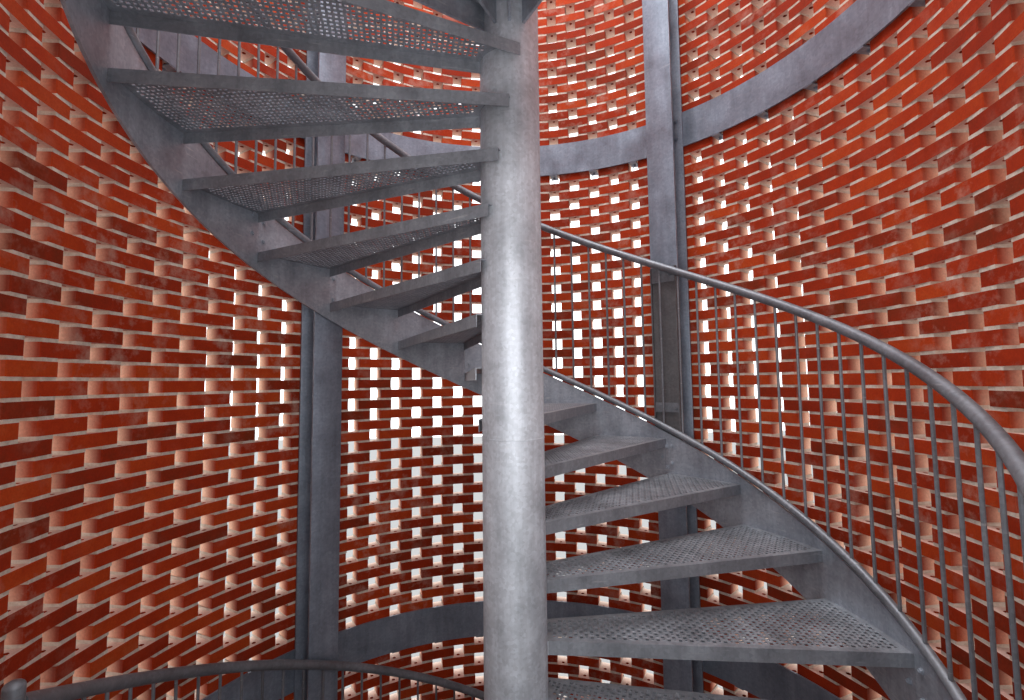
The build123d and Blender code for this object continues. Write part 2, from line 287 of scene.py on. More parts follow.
@dataclass(frozen=True)
class Galvanised(Finish):
    """Hot-dip galvanised steel with spangle, cloudy patches and dull streaks."""

    dark: Triple = (0.245, 0.268, 0.312)
    pale: Triple = (0.415, 0.450, 0.515)
    roughness: float = 0.40
    metallic: float = 0.45
    scratches: float = 0.25
    scratched: Triple = (0.72, 0.72, 0.73)

    def build(self, tree: Tree, shader: Node) -> None:
        """Wires spangle cells, clouds, streaks and scratches into the shader."""
        place = node(tree, "TexCoord").outputs["Object"]
        upright = node(tree, "Mapping", place, Scale=(9.0, 9.0, 0.7))
        leaning = node(tree, "Mapping", place, Scale=(3.0, 3.0, 26.0), Rotation=(0.5, 0.35, 0.2))
        clouds = noise(tree, place, 5.5, 6.0, 0.62)
        fine = noise(tree, place, 60.0, 4.0, 0.6)
        streaks = noise(tree, upright.outputs["Vector"], 2.2, 5.0, 0.7)
        marks = noise(tree, leaning.outputs["Vector"], 3.0, 3.0, 0.55)
        cells = node(tree, "TexVoronoi", place, Scale=95.0, Randomness=1.0)
        grey = node(tree, "RGBToBW", cells.outputs["Color"]).outputs["Val"]
        colour = ramp(tree, clouds, [(0.30, self.dark), (0.70, self.pale)])
        colour = mix(tree, 1.0, colour, spread(tree, grey, 0.86, 1.12, 0.0, 1.0), "MULTIPLY")
        colour = mix(tree, 1.0, colour, spread(tree, streaks, 0.80, 1.10), "MULTIPLY")
        colour = mix(tree, spread(tree, marks, 0.0, self.scratches, 0.66, 0.74), colour, self.scratched)
        rough = spread(tree, clouds, self.roughness - 0.08, self.roughness + 0.14)
        feed(tree, shader, {"Base Color": colour, "Roughness": rough, "Metallic": self.metallic})
        bump(tree, shader, fine, 0.12, 0.001)


@dataclass(frozen=True)
class FiredBrick(Finish):
    """Rough red brick: each brick has its own shade, with darker burns and pale dust; the ends and beds get
    painted light, partly a mortar smear.
    """

    shades: tuple[tuple[float, Triple], ...] = (
        (0.00, (0.190, 0.027, 0.007)),
        (0.25, (0.300, 0.023, 0.004)),
        (0.55, (0.410, 0.034, 0.005)),
        (0.82, (0.480, 0.056, 0.008)),
        (1.00, (0.510, 0.100, 0.026)),
    )
    dust: Triple = (0.52, 0.34, 0.27)
    # Painted light: pale tint of the brick ends, strongest at the outside where skylight falls through the
    # gaps, partly a mortar smear.
    end: Triple = (0.98, 0.63, 0.46)
    # Partly a real mortar smear on the bricks' tops and undersides, partly painted light that grows towards
    # the outside.
    bed: Triple = (0.90, 0.76, 0.66)
    # Radii between which the painted light on the ends and beds grows from least to most.
    least_light_radius: float = 1.522
    most_light_radius: float = 1.598

    def build(self, tree: Tree, shader: Node) -> None:
        """Wires each brick's own shade, blotches, dust, the painted light on the ends and beds (partly a
        mortar smear) and pits into the shader.
        """
        place = node(tree, "TexCoord").outputs["Object"]
        own = node(tree, "Attribute", attribute_name="tone").outputs["Fac"]
        blotch = node(tree, "Math", noise(tree, place, 9.0, 5.0, 0.65), 0.7, own, operation="MULTIPLY_ADD")
        shade = node(tree, "Math", blotch.outputs["Value"], 0.35, operation="SUBTRACT").outputs["Value"]
        grain = noise(tree, place, 120.0, 5.0, 0.7)
        region = spread(tree, noise(tree, place, 1.3, 3.0, 0.6), 0.06, 1.0, 0.46, 0.60)
        film = spread(tree, noise(tree, place, 11.0, 6.0, 0.66), 0.0, 0.50, 0.50, 0.68)
        colour = ramp(tree, shade, list(self.shades))
        colour = mix(tree, product(tree, region, film), colour, self.dust)
        # Painted light on the ends and beds: a pale tint that grows with the radius, towards the outside of
        # the wall.
        level = node(tree, "VectorMath", place, (1.0, 1.0, 0.0), operation="MULTIPLY").outputs["Vector"]
        radius = node(tree, "VectorMath", level, operation="LENGTH").outputs["Value"]
        for smear_and_light_faces, inside, outside, smear_and_light_tint in (("end", 0.04, 1.0, self.end), ("bed", 0.50, 0.95, self.bed)):
            smear_and_light_face = node(tree, "Attribute", attribute_name=smear_and_light_faces).outputs["Fac"]
            share = spread(tree, radius, inside, outside, self.least_light_radius, self.most_light_radius)
            colour = mix(tree, product(tree, smear_and_light_face, share), colour, smear_and_light_tint)
        colour = mix(tree, 1.0, colour, spread(tree, grain, 0.84, 1.12), "MULTIPLY")
        feed(tree, shader, {"Base Color": colour, "Roughness": 0.85, "Specular IOR Level": 0.22})
        bump(tree, shader, grain, 0.35, 0.002)


@dataclass(frozen=True)
class Mortar(Finish):
    """Pale, sandy bed between two bricks."""

    dark: Triple = (0.47, 0.38, 0.31)
    pale: Triple = (0.79, 0.69, 0.60)

    def build(self, tree: Tree, shader: Node) -> None:
        """Wires sandy patches into the shader."""
        patches = noise(tree, node(tree, "TexCoord").outputs["Object"], 28.0, 6.0, 0.75)
        colour = ramp(tree, patches, [(0.32, self.dark), (0.68, self.pale)])
        feed(tree, shader, {"Base Color": colour, "Roughness": 0.95})
        bump(tree, shader, patches, 0.5, 0.003)


@dataclass(frozen=True)
class PlainFloor(Finish):
    """Pale matt floor under the tower."""

    colour: Triple = (0.40, 0.40, 0.395)

    def build(self, tree: Tree, shader: Node) -> None:
        """Sets a flat colour."""
        feed(tree, shader, {"Base Color": (*self.colour, 1.0), "Roughness": 0.9})


STEEL = Galvanised("galvanised_steel")
# Painted light: a paler copy of the galvanised steel for the column, standing in for the light that falls on
# it.
LIT_COLUMN_STEEL = Galvanised("galvanised_column_painted_light", (0.405, 0.430, 0.475), (0.680, 0.715, 0.780), roughness=0.47)
# Painted shade: a much darker copy of the galvanised steel for the cap, offsetting the strong light that
# falls on its top.
SHADED_CAP_STEEL = Galvanised("galvanised_cap_painted_shade", (0.105, 0.115, 0.135), (0.180, 0.195, 0.225), roughness=0.50)
FRAME_STEEL = Galvanised("galvanised_frame", (0.200, 0.235, 0.295), (0.310, 0.362, 0.450), scratches=0.12)
# Partly weathering, partly painted shade: the channels are darkened to stand in for the shade in their
# recess.
WEATHERED_AND_SHADED_STEEL = Galvanised("channel_weathering_and_painted_shade", (0.101, 0.098, 0.105), (0.168, 0.160, 0.168), 0.55, scratches=0.05)
RAIL_STEEL = Galvanised("galvanised_rail", (0.156, 0.165, 0.188), (0.262, 0.274, 0.304), roughness=0.48)
SHEET = Galvanised("galvanised_sheet", (0.205, 0.216, 0.243), (0.350, 0.370, 0.412), roughness=0.46)
BRICK = FiredBrick("fired_brick")
MORTAR = Mortar("bed_mortar")
# Painted shade: a much darker copy of the bed mortar for the beds under the first course and on the last one,
# offsetting the strong light from above.
SHADED_OUTER_MORTAR = Mortar("outer_mortar_painted_shade", (0.110, 0.100, 0.092), (0.190, 0.175, 0.160))
FLOOR = PlainFloor("pale_floor")


# Mesh helpers

UPRIGHT = (0, 0, 1)
SHARP = radians(35.0)


def polar(radius: float, angle: float, height: float = 0.0) -> Vector:
    """Point at a radius and an angle round the axis."""
    return Vector((radius * cos(radians(angle)), radius * sin(radians(angle)), height))


def turn(angle: float, lift: float = 0.0) -> Matrix:
    """Matrix that turns about the axis and lifts."""
    return Matrix.Translation((0, 0, lift)) @ Matrix.Rotation(radians(angle), 4, "Z")


def band(inner: float, outer: float, angle: float, low: float, high: float) -> list[Vector]:
    """Corners of an upright rectangle at an angle round the axis."""
    corners = ((inner, low), (outer, low), (outer, high), (inner, high))
    return [polar(radius, angle, height) for radius, height in corners]


def arc(radius: float, start: float, end: float, steps: int) -> list[Point]:
    """Points in plan along an arc, with both of its ends."""
    return [tuple(polar(radius, start + (end - start) * i / steps)[:2]) for i in range(steps + 1)]


def new_verts(made: list) -> list[Vert]:
    """The vertices in what an operator returns."""
    return [item for item in made if isinstance(item, Vert)]


def box(bm: BMesh, low: Triple, high: Triple, place: Matrix = Matrix()) -> None:
    """Adds a box between two corners and puts it in its place."""
    low, high = Vector(low), Vector(high)
    size = Matrix.Diagonal((*(high - low), 1.0))
    bmesh.ops.create_cube(bm, size=1.0, matrix=place @ Matrix.Translation((low + high) / 2) @ size)


def prism(bm: BMesh, outline: list[Point], low: float, high: float) -> None:
    """Adds an upright prism.

    Args:
        bm: Mesh to add to.
        outline: Corners in plan, counterclockwise.
        low: Height of the underside.
        high: Height of the top.
    """
    base = bm.faces.new([bm.verts.new((x, y, low)) for x, y in reversed(outline)])
    made = bmesh.ops.extrude_face_region(bm, geom=[base], use_keep_orig=True)["geom"]
    bmesh.ops.translate(bm, verts=new_verts(made), vec=(0, 0, high - low))
    bmesh.ops.recalc_face_normals(bm, faces=bm.faces[:])


def swept(bm: BMesh, corners: list[Vector], angle: float, lift: float, steps: int) -> None:
    """Sweeps a closed section round the axis while it climbs.

    Args:
        bm: Mesh to add to.
        corners: The section's corners in order.
        angle: Turn of the sweep in degrees.
        lift: Climb over the whole sweep.
        steps: Number of straight pieces.
    """
    loop = [bm.verts.new(corner) for corner in corners]
    edges = [bm.edges.new((loop[i - 1], loop[i])) for i in range(len(loop))]
    bm.faces.new(loop)
    climb = (0, 0, lift / steps)
    made = bmesh.ops.spin(bm, geom=edges, axis=UPRIGHT, dvec=climb, angle=radians(angle), steps=steps)
    rim = [item for item in made["geom_last"] if isinstance(item, bmesh.types.BMEdge)]
    bmesh.ops.edgeloop_fill(bm, edges=rim)
    bmesh.ops.recalc_face_normals(bm, faces=bm.faces[:])


def copies(bm: BMesh, angle: float, lift: float, count: int) -> None:
    """Repeats a whole mesh round the axis while it climbs.

    Args:
        bm: Mesh to add to.
        angle: Turn from one copy to the next in degrees.
        lift: Climb from one copy to the next.
        count: Number of added copies.
    """
    if count > 0:
        whole = {"geom": bm.verts[:] + bm.edges[:] + bm.faces[:], "angle": radians(angle * count)}
        bmesh.ops.spin(bm, axis=UPRIGHT, dvec=(0, 0, lift), steps=count, use_duplicate=True, **whole)


def rod(bm: BMesh, start: Vector, end: Vector, radius: float, sides: int, caps: bool = True) -> None:
    """Adds a round bar between two points."""
    along = end - start
    place = Matrix.Translation((start + end) / 2) @ along.to_track_quat("Z", "Y").to_matrix().to_4x4()
    size = {"segments": sides, "radius1": radius, "radius2": radius, "depth": along.length}
    bmesh.ops.create_cone(bm, cap_ends=caps, matrix=place, **size)


def bolt(bm: BMesh, foot: Vector, out: Vector, size: float = 0.012) -> None:
    """Adds a washer, a hexagon head and a stub of thread, standing out from a face."""
    out = out.normalized()
    rod(bm, foot, foot + out * size * 0.2, size * 1.25, 14)
    rod(bm, foot + out * size * 0.2, foot + out * size * 0.9, size * 0.98, 6)
    rod(bm, foot + out * size * 0.9, foot + out * size * 1.25, size * 0.5, 8)


def placed(name: str, data: bpy.types.ID) -> Object:
    """Adds an object to the scene, at the origin."""
    made = bpy.data.objects.new(name, data)
    bpy.context.scene.collection.objects.link(made)
    return made


def piece(bm: BMesh, name: str, finish: Finish, slot: Slot, *replaced: str) -> Object:
    """Turns a finished mesh into a named piece of the tower.

    Args:
        bm: The mesh, which is freed.
        name: The piece's name.
        finish: Its finish.
        slot: Not used.
        replaced: CAD nodes that it stands for.

    Returns:
        The new object.
    """
    mesh = bpy.data.meshes.new(name)
    bm.to_mesh(mesh)
    bm.free()
    mesh.shade_smooth()
    mesh.set_sharp_from_angle(angle=SHARP)
    mesh.materials.append(finish.material())
    made = placed(name, mesh)
    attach(made, "root")
    if replaced:
        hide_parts(*replaced)
    log.info("%s: %d faces", name, len(mesh.polygons))
    return made


# Brickwork


@dataclass(frozen=True)
class Panel:
    """One panel of the wall between two angles and two courses."""

    name: str
    start: float
    end: float
    first: int
    last: int
    cut_start: bool = False
    cut_end: bool = False

    def holds(self, angle: float) -> bool:
        """Whether a brick or a bed with its middle at the angle belongs to the panel."""
        return (self.cut_start or angle >= self.start) and (self.cut_end or angle < self.end)


@dataclass
class Brickwork:
    """Open stretcher bond on a circle: each gap stands over a brick's middle."""

    length: float = 0.200
    width: float = 0.100
    height: float = 0.050
    count: int = 36
    centre_radius: float = 1.5605
    arris: float = 0.003
    core_hole: float = 0.021
    core_place: Point = (-0.020, 0.0)
    pad_length: float = 0.0636
    pad_inset: float = 0.0012
    pad_seat: float = 0.0005
    bed_reach: Point = (1.513, 1.608)
    bed_heights: tuple[Point, ...] = (
        (0.0, PLAN.first_bed - 0.012),
        (PLAN.wall_height - 0.0128, PLAN.wall_height - 0.002),
    )
    wander: float = 0.0048
    stray: float = 0.009
    lean: float = 0.0048
    tone: Point = (0.10, 0.70)
    seed: int = 7
    table_rows: int = 200

    def panels(self) -> list[Panel]:
        """Panels of the wall: they meet at whole bricks behind the posts and are cut at the doorways.

        Returns:
            The panels in order.
        """
        at = PLAN.post_angles
        top = round((PLAN.wall_height - PLAN.first_bed) / PLAN.course)
        left, right = 270.0 - PLAN.door_half_angle - 0.3, 270.0 + PLAN.door_half_angle + 0.3
        found = [
            Panel("wall_rear", at["rear_right"], at["rear_left"], 0, top),
            Panel("wall_left", at["rear_left"], at["front_left"], 0, top),
            Panel("wall_right", at["front_right"], at["rear_right"], 0, top),
            Panel("wall_front_left", at["front_left"], left, 0, top, cut_end=True),
            Panel("wall_front_right", right, at["front_right"] + 360.0, 0, top, cut_start=True),
        ]
        for number in range(1, PLAN.flights + 2):
            low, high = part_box(f"wall_over_door_{number}")
            first = ceil((low.z - PLAN.first_bed - 0.002) / PLAN.course)
            last = floor((high.z - PLAN.first_bed + 0.014) / PLAN.course)
            found.append(Panel(f"wall_over_door_{number}", left + 0.6, right - 0.6, first, last, True, True))
        return found

    def brick(self, bm: BMesh, start: float, end: float, place: Matrix) -> None:
        """Adds one brick or a cut one, lengthways along Y.

        Args:
            bm: Mesh to add to.
            start: Where it starts, from the middle of a whole brick.
            end: Where it ends.
            place: Its place.
        """
        own = bmesh.new()
        low, high = self.centre_radius - self.width / 2, self.centre_radius + self.width / 2
        cut = self.arris
        outline = [(low + cut, start), (high, start), (high, end)]
        outline += [(low + cut, end), (low, end - cut), (low, start + cut)]
        rim = [own.verts.new((x, y, 0.0)) for x, y in outline]
        for index in range(len(rim)):
            own.edges.new((rim[index - 1], rim[index]))
        if end - start > self.length - 0.001:
            middle = Matrix.Translation((self.centre_radius + self.core_place[0], self.core_place[1], 0.0))
            bmesh.ops.create_circle(own, segments=6, radius=self.core_hole / 2, matrix=middle)
        bmesh.ops.triangle_fill(own, use_beauty=True, edges=own.edges[:], normal=UPRIGHT)
        made = bmesh.ops.extrude_face_region(own, geom=own.faces[:], use_keep_orig=True)["geom"]
        bmesh.ops.translate(own, verts=new_verts(made), vec=(0, 0, self.height))
        bmesh.ops.recalc_face_normals(own, faces=own.faces[:])
        bmesh.ops.transform(own, matrix=place, verts=own.verts[:])
        finished = bpy.data.meshes.new("brick")
        own.to_mesh(finished)
        own.free()
        bm.from_mesh(finished)
        bpy.data.meshes.remove(finished)

    def course_pair(self, bm: BMesh, panel: Panel) -> None:
        """Adds two courses of a panel, whole bricks and the cut ones at a doorway."""
        pitch = 360.0 / self.count
        for index in range(2):
            offset = pitch / 2 if (panel.first + index) % 2 == 0 else 0.0
            lift = PLAN.first_bed + (panel.first + index) * PLAN.course
            for step in range(floor((panel.start - offset) / pitch), ceil((panel.end - offset) / pitch) + 1):
                middle = offset + step * pitch
                left, right = -self.length / 2, self.length / 2
                if panel.cut_start:
                    left = max(left, radians(panel.start - middle) * self.centre_radius)
                if panel.cut_end:
                    right = min(right, radians(panel.end - middle) * self.centre_radius)
                if panel.holds(middle) and right - left > 0.02:
                    self.brick(bm, left, right, turn(middle, lift))

    def pads(self, bm: BMesh, panel: Panel) -> None:
        """Adds the mortar beds of a panel, one at each overlap of two bricks."""
        pitch = 180.0 / self.count
        deep, half = self.width / 2 - self.pad_inset, self.pad_length / 2
        reach = degrees(half / self.centre_radius)
        start = panel.start + reach if panel.cut_start else panel.start
        end = panel.end - reach if panel.cut_end else panel.end
        thick = PLAN.course - self.height
        lift = PLAN.first_bed + panel.first * PLAN.course - thick
        low = (self.centre_radius - deep, -half, -self.pad_seat)
        high = (self.centre_radius + deep, half, thick + self.pad_seat)
        step = ceil((start - pitch / 2) / pitch)
        while (step + 0.5) * pitch < end:
            box(bm, low, high, turn((step + 0.5) * pitch, lift))
            step += 1
        flat = [face for face in bm.faces if abs(face.normal.z) > 0.9]
        bmesh.ops.delete(bm, geom=flat, context="FACES_ONLY")
        copies(bm, 0.0, PLAN.course, panel.last - panel.first - 1)

    def scatter(self, made: Object) -> None:
        """Gives each brick its own shade and a slight shift.

        Args:
            made: The panel's object.
        """
        mesh = made.data
        co = np.empty(len(mesh.vertices) * 3, np.float64)
        mesh.vertices.foreach_get("co", co)
        co = co.reshape(-1, 3)
        pitch = 360.0 / self.count
        row = np.floor((co[:, 2] - PLAN.first_bed + 0.004) / PLAN.course).astype(int)
        angle = np.degrees(np.arctan2(co[:, 1], co[:, 0])) % 360.0
        offset = np.where(row % 2 == 0, pitch / 2, 0.0)
        column = np.round((angle - offset) / pitch).astype(int) % self.count
        random = np.random.default_rng(self.seed)
        table = random.random((self.table_rows, self.count, 4))
        own = table[row % self.table_rows, column]
        middle = np.radians(column * pitch + offset)
        out, along, swing = own[:, 1] - 0.5, (own[:, 2] - 0.5) * self.stray, own[:, 3] - 0.5
        local_x, local_y = np.cos(middle), np.sin(middle)
        tangent = -co[:, 0] * local_y + co[:, 1] * local_x
        radial = -np.abs(out) * self.wander + tangent * swing * self.lean
        co[:, 0] += local_x * radial - local_y * along
        co[:, 1] += local_y * radial + local_x * along
        mesh.vertices.foreach_set("co", co.reshape(-1))
        tone = mesh.attributes.new("tone", "FLOAT", "POINT")
        tone.data.foreach_set("value", (own[:, 0] * self.tone[1] + self.tone[0]).astype(np.float32))
        faces = np.empty((2, len(mesh.polygons) * 3), np.float64)
        mesh.polygons.foreach_get("center", faces[0])
        mesh.polygons.foreach_get("normal", faces[1])
        middle, normal = faces.reshape(2, -1, 3)
        cross = middle[:, 0] * normal[:, 1] - middle[:, 1] * normal[:, 0]
        facing = np.abs(cross) / np.hypot(middle[:, 0], middle[:, 1])
        # Marks the brick ends and the tops and undersides for the pale tint, which is painted light and
        # partly a mortar smear.
        for name, smear_and_light_mask in (("end", facing > 0.9), ("bed", np.abs(normal[:, 2]) > 0.9)):
            smear_and_light_faces = mesh.attributes.new(name, "FLOAT", "FACE")
            smear_and_light_faces.data.foreach_set("value", smear_and_light_mask.astype(np.float32))

    def build(self) -> None:
        """Builds every panel with its bricks and beds."""
        for panel in self.panels():
            bm = bmesh.new()
            self.course_pair(bm, panel)
            copies(bm, 0.0, 2 * PLAN.course, (panel.last - panel.first) // 2 - 1)
            self.scatter(piece(bm, panel.name + "_bricks", BRICK, Slot.BRICK, panel.name))
            bm = bmesh.new()
            self.pads(bm, panel)
            piece(bm, panel.name + "_beds", MORTAR, Slot.BRICK)
        self.levelling_beds()

    def levelling_beds(self) -> None:
        """Builds the beds under the first course and on the last one."""
        bm = bmesh.new()
        for low, high in self.bed_heights:
            for panel in self.panels():
                if "over" not in panel.name or (low > 1 and panel.name.endswith("3")):
                    wide = panel.end - panel.start
                    corners = band(*self.bed_reach, panel.start, low, high)
                    swept(bm, corners, wide, 0.0, max(2, round(wide / 4)))
        # The foot and head beds take the darker mortar, which is painted shade.
        piece(bm, "wall_foot_and_head_beds", SHADED_OUTER_MORTAR, Slot.BRICK)


# Perforated sheet


@dataclass
class PerforatedSheet:
    """Flat sheet with staggered punched holes and raised nibs."""

    pitch: float = 0.0186
    hole: float = 0.0088
    nib_hole: float = 0.0056
    nib_height: float = 0.0022
    margin: float = 0.010
    nibs: bool = True

    @staticmethod
    def clearance(point: Vector, outline: list[Point]) -> float:
        """Distance from a point to the outline, below zero outside it."""
        inside, nearest = False, 1e9
        for (x1, y1), (x2, y2) in zip(outline, outline[1:] + outline[:1]):
            if (y1 > point.y) != (y2 > point.y) and point.x < (x2 - x1) * (point.y - y1) / (y2 - y1) + x1:
                inside = not inside
            length = (x2 - x1) ** 2 + (y2 - y1) ** 2
            share = max(0.0, min(1.0, ((point.x - x1) * (x2 - x1) + (point.y - y1) * (y2 - y1)) / length))
            nearest = min(nearest, hypot(point.x - x1 - share * (x2 - x1), point.y - y1 - share * (y2 - y1)))
        return nearest if inside else -nearest

    def build(self, bm: BMesh, outline: list[Point]) -> list[bmesh.types.BMEdge]:
        """Adds the sheet as one layer at height 0.

        Args:
            bm: Mesh to add to.
            outline: Corners in plan.

        Returns:
            The outline's edges.
        """
        xs, ys = zip(*outline)
        columns, rows = (ceil((max(axis) - min(axis)) / self.pitch) for axis in (xs, ys))
        wide, deep = columns * self.pitch, rows * self.pitch
        centre = Matrix.Translation((min(xs) + wide / 2 + 0.004, min(ys) + deep / 2 + 0.004, 0.0))
        size = Matrix.Diagonal((wide, deep, 1.0, 1.0))
        bmesh.ops.create_grid(bm, x_segments=columns, y_segments=rows, size=0.5, matrix=centre @ size)
        reach = {vert: self.clearance(vert.co, outline) for vert in bm.verts}
        spare = [face for face in bm.faces if min(reach[vert] for vert in face.verts) < self.margin]
        bmesh.ops.delete(bm, geom=spare, context="FACES")
        cells = bm.faces[:]
        inner = [edge for edge in bm.edges if edge.is_boundary]
        corners = [bm.verts.new((x, y, 0.0)) for x, y in outline]
        rim = [bm.edges.new((corners[i - 1], corners[i])) for i in range(len(corners))]
        bmesh.ops.triangle_fill(bm, use_beauty=True, edges=inner + rim, normal=UPRIGHT)
        for face in bm.faces:
            if face.normal.z < 0:
                face.normal_flip()
        odd, even = [], []
        for face in cells:
            step = sum(round(part / self.pitch) for part in face.calc_center_median()[:2])
            (odd if step % 2 and self.nibs else even).append(face)
        for faces, hole, height in ((even, self.hole, 0.0), (odd, self.nib_hole, self.nib_height)):
            if faces:
                bmesh.ops.inset_individual(bm, faces=faces, thickness=(self.pitch - hole) / 2, depth=height)
        bmesh.ops.delete(bm, geom=even + odd, context="FACES_ONLY")
        return rim


# Stair


@dataclass
class Treads:
    """Folded perforated treads of one flight."""

    number: int
    sheet: float = 0.003
    flange: float = 0.045
    inner_width: float = 0.132
    inner_reach: float = -0.010
    perforation: PerforatedSheet = field(default_factory=PerforatedSheet)

    def outline(self) -> list[Point]:
        """Plan of one tread at angle 0, its end at the column cut to a round."""
        outer, radius = PLAN.stair_radius - 0.0005, PLAN.column_radius + PLAN.fit
        corner = (self.inner_reach, self.inner_width)
        start = degrees(acos(self.inner_reach / radius))
        return [*arc(outer, 0.0, PLAN.step_turn, 8), corner, *arc(radius, start, 0.0, 8)]

    def one(self) -> BMesh:
        """One tread at angle 0, with its top at height 0."""
        bm = bmesh.new()
        outline = self.outline()
        rim = self.perforation.build(bm, outline)
        folded = []
        for edge in rim:
            a, b = edge.verts
            far = min(a.co.xy.length, b.co.xy.length) > PLAN.stair_radius - 0.002
            near = max(a.co.xy.length, b.co.xy.length) < PLAN.column_radius + 0.002
            end = max(a.co.x, b.co.x) < self.inner_reach + 0.001
            if not far and not near and not end:
                folded.append(edge)
        made = bmesh.ops.extrude_edge_only(bm, edges=folded)["geom"]
        bmesh.ops.translate(bm, verts=new_verts(made), vec=(0, 0, -self.flange))
        bmesh.ops.recalc_face_normals(bm, faces=bm.faces[:])
        top = next(face for face in bm.faces if abs(face.normal.z) > 0.99)
        if top.normal.z < 0:
            bmesh.ops.reverse_faces(bm, faces=bm.faces[:])
        bmesh.ops.solidify(bm, geom=bm.faces[:], thickness=self.sheet)
        return bm

    def build(self) -> None:
        """Builds the flight's treads in two groups."""
        base = PLAN.levels[self.number - 1]
        node_name = f"flight_{self.number}_treads"
        for part, first, count in (("lower", 0, 8), ("upper", 8, 7)):
            bm = self.one()
            matrix = turn(PLAN.first_angle + first * PLAN.step_turn, base + PLAN.rise * (first + 1))
            bmesh.ops.transform(bm, matrix=matrix, verts=bm.verts[:])
            copies(bm, PLAN.step_turn, PLAN.rise, count - 1)
            piece(bm, f"{node_name}_{part}", SHEET, Slot.TREAD, node_name)


@dataclass
class Stringer:
    """Outer stringer of one flight: a helical plate in bolted pieces."""

    number: int
    over: float = 0.036
    under: float = 0.274
    pieces: int = 5
    gap: float = 0.02
    splice_turn: float = 1.3
    splice_drops: Point = (0.025, 0.116)
    post_drops: Point = (0.042, 0.156)

    def build(self) -> None:
        """Builds the plate and its splice bolts."""
        base = PLAN.levels[self.number - 1] + PLAN.rise
        inner, outer = PLAN.stair_radius, PLAN.stair_radius + PLAN.stringer_thickness
        bm = bmesh.new()
        whole = PLAN.flight_turn / self.pieces
        clear = whole - 2 * self.gap
        for index in range(self.pieces):
            start = PLAN.first_angle + index * whole + self.gap
            lift = base + index * whole * PLAN.slope
            corners = band(inner, outer, start, lift - self.under, lift + self.over)
            swept(bm, corners, clear, clear * PLAN.slope, 22)
        if self.number == 1:
            geom = bm.verts[:] + bm.edges[:] + bm.faces[:]
            bmesh.ops.bisect_plane(bm, geom=geom, plane_co=(0, 0, 0.0005), plane_no=UPRIGHT, clear_inner=True)
            bmesh.ops.holes_fill(bm, edges=[edge for edge in bm.edges if edge.is_boundary])
        splices = [PLAN.first_angle + index * whole for index in range(1, self.pieces)]
        sides = [angle + side for angle in splices for side in (-self.splice_turn, self.splice_turn)]
        posts = [PLAN.post_angles[post] for post in ("front_right", "rear_right", "rear_left")]
        places = [(angle, self.splice_drops, 0.010) for angle in sides]
        places += [(angle, self.post_drops, 0.012) for angle in posts]
        for angle, drops, size in places:
            for drop in drops:
                foot = polar(inner, angle, PLAN.nosing(angle, self.number) - drop)
                bolt(bm, foot, -polar(1.0, angle), size)
        piece(bm, f"flight_{self.number}_stringer_plate", STEEL, Slot.STAIR, f"flight_{self.number}_stringer")


@dataclass
class Balustrade:
    """Rails, bars and end posts of one flight."""

    number: int
    handrail_height: float = 0.960
    handrail: float = 0.0212
    rail_gap: float = 0.009
    over: float = 0.036
    bottom_rail: float = 0.01685
    bar: float = 0.006
    spaces: int = 56
    setback: float = 6.0
    newel: float = 0.0212
    newel_over: float = 0.040

    @property
    def bottom_height(self) -> float:
        """Height of the bottom rail's middle over the nosing line."""
        return self.over + self.rail_gap + self.bottom_rail

    @property
    def turn(self) -> float:
        """Turn of the rails, which end short of the landing."""
        return PLAN.flight_turn - self.setback

    def rail(self, radius: float, height: float) -> BMesh:
        """One round rail that follows the nosing line."""
        base = PLAN.levels[self.number - 1] + PLAN.rise
        lean = 1 / cos(atan(PLAN.climb / PLAN.rail_radius))
        bm = bmesh.new()
        corners = []
        for index in range(14):
            angle = 2 * pi * index / 14
            place = polar(PLAN.rail_radius + radius * cos(angle), PLAN.first_angle)
            corners.append(place + Vector((0, 0, base + height + radius * sin(angle) * lean)))
        swept(bm, corners, self.turn, self.turn * PLAN.slope, 108)
        return bm

    def build(self) -> None:
        """Builds the flight's balustrade."""
        base = PLAN.levels[self.number - 1]
        name = f"flight_{self.number}_"
        bm = self.rail(self.handrail, self.handrail_height)
        piece(bm, name + "handrail_tube", RAIL_STEEL, Slot.RAIL, name + "handrail")
        bm = self.rail(self.bottom_rail, self.bottom_height)
        piece(bm, name + "bottom_rail_tube", RAIL_STEEL, Slot.RAIL, name + "bottom_rail")
        bm = bmesh.new()
        step = self.turn / self.spaces
        foot = base + PLAN.rise + self.bottom_height + step * PLAN.slope
        head = foot + self.handrail_height - self.bottom_height
        start = polar(PLAN.rail_radius, PLAN.first_angle + step)
        rod(bm, start + Vector((0, 0, foot)), start + Vector((0, 0, head)), self.bar, 8, False)
        copies(bm, step, step * PLAN.slope, self.spaces - 2)
        piece(bm, name + "bars", RAIL_STEEL, Slot.RAIL, name + "balusters")
        bm = bmesh.new()
        half = degrees((self.newel + PLAN.fit) / PLAN.rail_radius)
        ends = ((PLAN.first_angle - half, False), (PLAN.first_angle + self.turn + half, True))
        for angle, at_head in ends:
            line = PLAN.nosing(angle, self.number)
            over = self.newel_over if at_head else 0.0
            low = polar(PLAN.rail_radius, angle, line + self.over + 0.0005 if at_head else base)
            top = polar(PLAN.rail_radius, angle, line + self.handrail_height + over)
            rod(bm, low, top, self.newel, 24)
            if at_head:
                self.cut_foot(bm, low)
            ball = Matrix.Translation(top) @ Matrix.Diagonal((1, 1, 0.68, 1))
            bmesh.ops.create_uvsphere(bm, u_segments=24, v_segments=12, radius=self.newel, matrix=ball)
        piece(bm, name + "end_posts", RAIL_STEEL, Slot.RAIL, name + "newels")

    def cut_foot(self, bm: BMesh, foot: Vector) -> None:
        """Slopes the underside of a post to the stringer that it stands on."""
        for vert in bm.verts:
            if abs(vert.co.z - foot.z) < 1e-5:
                around = (foot.x * vert.co.y - foot.y * vert.co.x) / foot.xy.length_squared
                vert.co.z += PLAN.climb * around


